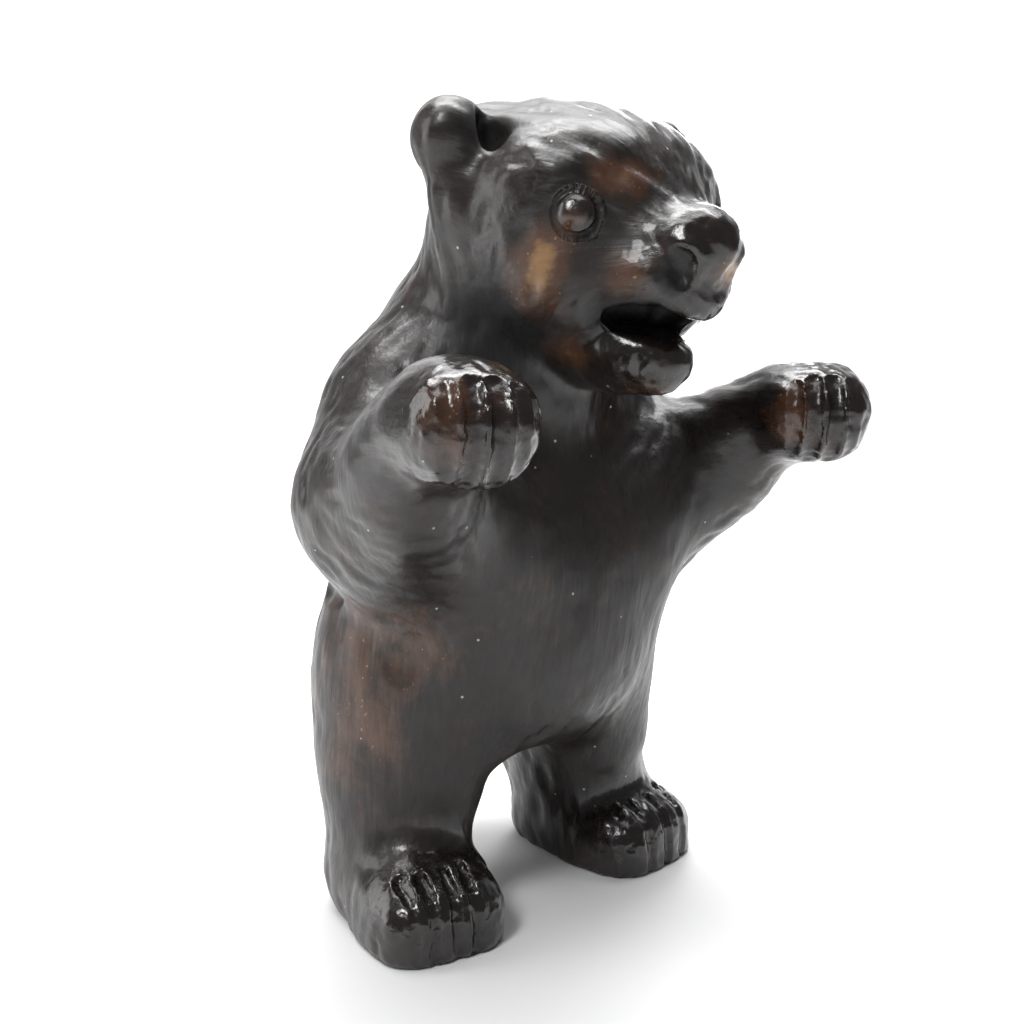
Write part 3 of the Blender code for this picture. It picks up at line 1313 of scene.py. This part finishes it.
def range_node(
    tree: bpy.types.NodeTree,
    value: bpy.types.NodeSocket,
    low: float,
    high: float,
    to_low: float = 0.0,
    to_high: float = 1.0,
) -> bpy.types.NodeSocket:
    """Add a smooth Map Range node.

    Args:
        tree: Node tree.
        value: Input value.
        low: Input that gives to_low.
        high: Input that gives to_high.
        to_low: Result at low.
        to_high: Result at high.

    Returns:
        The result socket.
    """
    node = tree.nodes.new("ShaderNodeMapRange")
    node.interpolation_type = "SMOOTHSTEP"
    tree.links.new(value, node.inputs["Value"])
    node.inputs["From Min"].default_value = low
    node.inputs["From Max"].default_value = high
    node.inputs["To Min"].default_value = to_low
    node.inputs["To Max"].default_value = to_high
    return node.outputs["Result"]


def mix_colour(
    tree: bpy.types.NodeTree,
    share: bpy.types.NodeSocket,
    a: bpy.types.NodeSocket | tuple[float, ...],
    b: bpy.types.NodeSocket | tuple[float, ...],
) -> bpy.types.NodeSocket:
    """Mix two colours.

    Args:
        tree: Node tree.
        share: Share of the second colour.
        a: First colour.
        b: Second colour.

    Returns:
        The mixed colour.
    """
    node = tree.nodes.new("ShaderNodeMix")
    node.data_type = "RGBA"
    tree.links.new(share, node.inputs[0])
    for slot, given in ((6, a), (7, b)):
        if isinstance(given, bpy.types.NodeSocket):
            tree.links.new(given, node.inputs[slot])
        else:
            node.inputs[slot].default_value = (*given, 1.0)
    return node.outputs[2]


def attribute_node(tree: bpy.types.NodeTree, name: str) -> bpy.types.Node:
    """Add a node that reads a mesh attribute.

    Args:
        tree: Node tree.
        name: Name of the attribute.

    Returns:
        The node.
    """
    node = tree.nodes.new("ShaderNodeAttribute")
    node.attribute_name = name
    return node


@dataclass(frozen=True)
class DarkGlaze:
    """Near black glaze that breaks to brown over combed clay.

    Attributes:
        name: Name of the material.
        black: Colour of the glaze where it is thick.
        painted_shade: Painted shade, a near black colour in hollows, grooves and at the throat.
        umber: Colour of the clouds in it.
        brown: Colour where it runs thin.
        ochre: Colour where it runs thinnest, and of the grains.
        speck: Colour of the pale specks.
        strand_scale: Strands for each form unit.
        coat: Share of clear gloss everywhere.
        coat_wet: Clear gloss added where the glaze is wet.
        coat_rough: Roughness of the clear gloss.
        rough_fur: Least and greatest roughness between strands.
        rough_satin: Roughness added on rubbed fur.
        rough_hollow: Roughness added in hollows.
        wet_polish: Share of the roughness that wet glaze takes away.
        ior: Index of refraction.
        ripple_scale: Ripples for each metre.
        strand_share: Share of the strands in the relief, dry, and its change where wet.
        ripple_share: Share of the ripples in the relief, dry, and its change where wet.
        relief: Height of the strands and ripples, in metres.
        relief_strength: How strongly they show.
    """

    name: str = "Dark brown glaze"
    black: tuple[float, float, float] = (0.004, 0.0044, 0.0046)
    # Painted shade: near black colour for hollows, grooves and the throat, where shade falls
    painted_shade: tuple[float, float, float] = (0.0015, 0.0012, 0.0012)
    umber: tuple[float, float, float] = (0.017, 0.010, 0.007)
    brown: tuple[float, float, float] = (0.066, 0.029, 0.015)
    ochre: tuple[float, float, float] = (0.24, 0.13, 0.05)
    speck: tuple[float, float, float] = (0.42, 0.40, 0.36)
    strand_scale: float = 0.8
    coat: float = 0.12
    coat_wet: float = 0.3
    coat_rough: float = 0.07
    rough_fur: tuple[float, float] = (0.27, 0.42)
    rough_satin: float = 0.16
    rough_hollow: float = 0.35
    wet_polish: float = 0.38
    ior: float = 1.52
    ripple_scale: float = 300.0
    strand_share: tuple[float, float] = (0.75, -0.65)
    ripple_share: tuple[float, float] = (0.6, 1.3)
    relief: float = 0.0005
    relief_strength: float = 0.4

    def material(self) -> bpy.types.Material:
        """Build the material.

        Returns:
            The glaze.
        """
        material = bpy.data.materials.new(self.name)
        material.use_nodes = True
        tree = material.node_tree
        shader = tree.nodes["Principled BSDF"]
        strands = self._strands(tree)
        warm = attribute_node(tree, "warm").outputs["Fac"]
        wet = attribute_node(tree, "wet").outputs["Fac"]
        split = tree.nodes.new("ShaderNodeGroup")
        split.node_tree = GlazeBreak().group()
        tree.links.new(warm, split.inputs["Warmth"])
        tree.links.new(strands, split.inputs["Strands"])
        hollow = attribute_node(tree, "hollow").outputs["Fac"]
        tree.links.new(self._colour(tree, split, hollow), shader.inputs["Base Color"])
        satin = attribute_node(tree, "satin").outputs["Fac"]
        rough = range_node(tree, strands, 0.3, 0.75, self.rough_fur[1], self.rough_fur[0])
        rough = math_node(tree, "ADD", rough, math_node(tree, "MULTIPLY", satin, self.rough_satin))
        smooth = math_node(tree, "MULTIPLY_ADD", wet, -self.wet_polish, 1.0)
        rough = math_node(tree, "MULTIPLY", rough, smooth)
        rough = math_node(tree, "MULTIPLY_ADD", hollow, self.rough_hollow, rough)
        tree.links.new(rough, shader.inputs["Roughness"])
        coat = math_node(tree, "MULTIPLY_ADD", wet, self.coat_wet, self.coat)
        coat = math_node(tree, "SUBTRACT", coat, hollow, clamp=True)
        tree.links.new(coat, shader.inputs["Coat Weight"])
        shader.inputs["Coat Roughness"].default_value = self.coat_rough
        shader.inputs["IOR"].default_value = self.ior
        tree.links.new(self._normal(tree, strands, wet), shader.inputs["Normal"])
        return material

    def _colour(
        self, tree: bpy.types.NodeTree, split: bpy.types.Node, hollow: bpy.types.NodeSocket
    ) -> bpy.types.NodeSocket:
        """Lay the colours of the glaze over each other.

        Args:
            tree: Node tree.
            split: The glaze break's node.
            hollow: Where shade is painted near black.

        Returns:
            The colour.
        """
        base = mix_colour(tree, split.outputs["Cloud"], self.black, self.umber)
        base = mix_colour(tree, split.outputs["Brown"], base, self.brown)
        base = mix_colour(tree, split.outputs["Ochre"], base, self.ochre)
        grains = tree.nodes.new("ShaderNodeGroup")
        grains.node_tree = GlazeGrains().group()
        golden = math_node(tree, "MULTIPLY", grains.outputs["Grain"], split.outputs["Brown"])
        base = mix_colour(tree, golden, base, self.ochre)
        base = mix_colour(tree, grains.outputs["Speck"], base, self.speck)
        # Painted shade: hollows, grooves and the throat turn near black
        return mix_colour(tree, hollow, base, self.painted_shade)

    def _strands(self, tree: bpy.types.NodeTree) -> bpy.types.NodeSocket:
        """Blend the strands of body, head and arms into one height.

        Args:
            tree: Node tree.

        Returns:
            The height.
        """
        heights = []
        for name in ("strand_body", "strand_head", "strand_arm"):
            node = tree.nodes.new("ShaderNodeGroup")
            node.node_tree = StrandBump().group()
            tree.links.new(attribute_node(tree, name).outputs["Vector"], node.inputs["Strand"])
            node.inputs["Scale"].default_value = self.strand_scale
            heights.append(node.outputs["Height"])
        total = heights[0]
        for share, other in (("head_share", heights[1]), ("arm_share", heights[2])):
            node = tree.nodes.new("ShaderNodeMix")
            node.data_type = "FLOAT"
            tree.links.new(attribute_node(tree, share).outputs["Fac"], node.inputs[0])
            tree.links.new(total, node.inputs[2])
            tree.links.new(other, node.inputs[3])
            total = node.outputs[0]
        return total

    def _normal(
        self,
        tree: bpy.types.NodeTree,
        strands: bpy.types.NodeSocket,
        wet: bpy.types.NodeSocket,
    ) -> bpy.types.NodeSocket:
        """Turn the strands and ripples into a normal.

        Args:
            tree: Node tree.
            strands: Height of the strands.
            wet: Where the glaze is thick and smooth.

        Returns:
            The normal.
        """
        place = tree.nodes.new("ShaderNodeTexCoord").outputs["Object"]
        ripple = noise_node(tree, place, self.ripple_scale, detail=3.0)
        dry, change = self.strand_share
        fur = math_node(tree, "MULTIPLY_ADD", wet, change, dry)
        fur = math_node(tree, "MULTIPLY", fur, strands)
        dry, change = self.ripple_share
        share = math_node(tree, "MULTIPLY_ADD", wet, change, dry)
        height = math_node(tree, "MULTIPLY_ADD", ripple.outputs["Fac"], share, fur)
        bump = tree.nodes.new("ShaderNodeBump")
        bump.inputs["Strength"].default_value = self.relief_strength
        bump.inputs["Distance"].default_value = self.relief
        tree.links.new(height, bump.inputs["Height"])
        return bump.outputs["Normal"]


@dataclass(frozen=True)
class PaleFloor:
    """Plain pale studio paper."""

    colour: tuple[float, float, float] = (0.86, 0.86, 0.86)

    def material(self) -> bpy.types.Material:
        """Build the paper's material.

        Returns:
            The material.
        """
        material = bpy.data.materials.new("Pale paper")
        material.use_nodes = True
        tree = material.node_tree
        shader = tree.nodes["Principled BSDF"]
        place = tree.nodes.new("ShaderNodeTexCoord").outputs["Object"]
        grain = noise_node(tree, place, 40.0)
        low = tuple(0.985 * c for c in self.colour)
        colour = mix_colour(tree, grain.outputs["Fac"], self.colour, low)
        tree.links.new(colour, shader.inputs["Base Color"])
        shader.inputs["Roughness"].default_value = 0.7
        return material


@dataclass
class Studio:
    """Paper sweep, soft lights and the camera.

    Attributes:
        eye: Where the camera stands, in form units.
        heading: Degrees by which it turns about the upright axis.
        tilt: Degrees by which it looks down.
        focal_pixels: Its focal length in pixels of the picture.
        image_pixels: Width of the picture.
        floor_front: Front end of the paper, in metres.
        floor_end: Where the paper starts to curve up.
        bend: Radius of the curve.
        bend_steps: Number of flats in it.
        wall_top: Top of the paper.
        half_width: Half the width of the paper.
        room_colour: Colour of the light of the room.
        room_light: Strength of that light.
        lamps: Name, place, size, aim and watts of each light.
    """

    eye: tuple[float, float, float] = (-179.2, -222.9, 133.0)
    heading: float = -38.9
    tilt: float = 7.1
    focal_pixels: float = 1121.0
    image_pixels: float = 1024.0
    floor_front: float = -2.5
    floor_end: float = 0.8
    bend: float = 0.6
    bend_steps: int = 12
    wall_top: float = 2.6
    half_width: float = 4.0
    room_colour: tuple[float, float, float] = (0.95, 0.97, 1.0)
    room_light: float = 0.16
    lamps: tuple = (
        ("Overhead softbox", (0.05, 0.12, 0.8), (0.7, 0.7), (0.0, 0.1, 0.0), 5.0),
        ("Window", (-0.6, -0.2, 0.75), (0.2, 0.3), (0.0, 0.0, 0.1), 4.0),
        ("Left back strip", (-0.6, 0.45, 0.3), (0.3, 0.8), (0.0, 0.0, 0.1), 2.4),
        ("Right back strip", (0.65, 0.5, 0.35), (0.3, 0.8), (0.0, 0.0, 0.1), 4.0),
        ("Wall wash", (0.25, 0.3, 1.3), (1.2, 0.8), (0.9, 1.1, 0.2), 26.0),
    )

    def build(self) -> None:
        """Set up the whole studio."""
        self._sweep()
        self._world()
        for name, place, size, aim, power in self.lamps:
            self._lamp(name, Vector(place), size, Vector(aim), power)
        self._camera()
        bpy.context.scene.view_settings.view_transform = "Standard"

    def _sweep(self) -> None:
        """Build a floor that curves up into a wall behind the bear."""
        start, bend = self.floor_end, self.bend
        profile = [(self.floor_front, 0.0), (start, 0.0)]
        for i in range(1, self.bend_steps + 1):
            angle = math.radians(90.0 * i / self.bend_steps)
            profile.append((start + bend * math.sin(angle), bend * (1.0 - math.cos(angle))))
        profile.append((start + bend, self.wall_top))
        work = bmesh.new()
        rows = []
        for across in (-self.half_width, self.half_width):
            rows.append([work.verts.new((across, y, z)) for y, z in profile])
        for a, b, c, d in zip(rows[0][:-1], rows[0][1:], rows[1][1:], rows[1][:-1]):
            work.faces.new((a, d, c, b))
        mesh = bpy.data.meshes.new("paper_sweep")
        work.to_mesh(mesh)
        work.free()
        mesh.shade_smooth()
        sweep = bpy.data.objects.new("paper_sweep", mesh)
        sweep.rotation_euler = (0.0, 0.0, math.radians(self.heading))
        bpy.context.scene.collection.objects.link(sweep)
        mesh.materials.append(PaleFloor().material())

    def _world(self) -> None:
        """Fill the room with even pale light."""
        world = bpy.data.worlds.new("Pale room")
        world.use_nodes = True
        back = world.node_tree.nodes["Background"]
        back.inputs["Color"].default_value = (*self.room_colour, 1.0)
        back.inputs["Strength"].default_value = self.room_light
        bpy.context.scene.world = world

    def _lamp(
        self, name: str, place: Vector, size: tuple[float, float], aim: Vector, power: float
    ) -> None:
        """Hang one soft light.

        Args:
            name: Name of the light.
            place: Where it hangs, in metres.
            size: Width and height of its face.
            aim: The point that it faces.
            power: Watts.
        """
        data = bpy.data.lights.new(name, "AREA")
        data.shape = "RECTANGLE"
        data.size, data.size_y = size
        data.energy = power
        lamp = bpy.data.objects.new(name, data)
        lamp.location = place
        lamp.rotation_euler = (aim - place).to_track_quat("-Z", "Y").to_euler()
        bpy.context.scene.collection.objects.link(lamp)

    def _camera(self) -> None:
        """Place the camera where the photograph was taken from."""
        data = bpy.data.cameras.new("Camera")
        data.sensor_width = 36.0
        data.lens = self.focal_pixels / self.image_pixels * data.sensor_width
        data.clip_start = 0.01
        camera = bpy.data.objects.new("Camera", data)
        x, y, z = self.eye
        camera.location = ((x - FORM_CENTRE[0]) * UNIT, (y - FORM_CENTRE[1]) * UNIT, z * UNIT)
        camera.rotation_euler = (math.radians(90.0 - self.tilt), 0.0, math.radians(self.heading))
        bpy.context.scene.collection.objects.link(camera)
        bpy.context.scene.camera = camera


@dataclass
class Bear:
    """The whole sculpture, from clay to glaze.

    Attributes:
        torso: The body.
        legs: Right and left leg.
        arms: Right and left arm.
        head: The head.
        leg_gap: Centre, radii, power and blend of the gap cut between the legs.
        marks: Small tool marks.
        skin: The visible surface.
        glaze: Its finish.
    """

    torso: Torso = field(default_factory=Torso)
    legs: tuple = (
        Leg(RIGHT, -10.0, (-38.0, -28.0, 0.0), 16.5, (-9.9, -5.1, 0.5, 5.4)),
        Leg(LEFT, 7.6, (35.5, -23.5, 0.0), 17.5, (-12.0, -6.8, 0.3, 7.5)),
    )
    arms: tuple = (
        Arm(RIGHT, -20.0, (-53.0, -53.5, 123.5)),
        Arm(LEFT, -40.0, (53.0, -53.5, 123.5)),
    )
    head: Head = field(default_factory=Head)
    leg_gap: tuple = ((-2.5, 10, 2), (13.5, 70, 38.5), 2.6, 6)
    marks: ToolMarks = field(default_factory=ToolMarks)
    skin: BearSkin = field(default_factory=BearSkin)
    glaze: DarkGlaze = field(default_factory=DarkGlaze)

    def model(self) -> Form:
        """Model the clay.

        Returns:
            The finished form.
        """
        form = Form()
        self.torso.model(form)
        for leg in self.legs:
            leg.model(form)
        centre, radii, power, blend = self.leg_gap
        form.cut(Ellipsoid(centre, radii, power=power), blend)
        for arm in self.arms:
            arm.model(form)
        self.head.model(form)
        self.marks.model(form)
        return form

    def build(self) -> bpy.types.Object:
        """Make, glaze and register the sculpture.

        Returns:
            The sculpture's mesh object.
        """
        piece = self.skin.build(self.model())
        piece.data.materials.append(self.glaze.material())
        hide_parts("bear")
        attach(piece, "root")
        return piece


def main() -> None:
    """Build the sculpture and its studio."""
    logging.basicConfig(level=logging.INFO, format="%(name)s: %(message)s")
    piece = Bear().build()
    mesh = piece.data
    LOG.info("%s: %d points, %d faces", piece.name, len(mesh.vertices), len(mesh.polygons))
    Studio().build()
    LOG.info("studio ready")


if __name__ == "__main__":
    main()
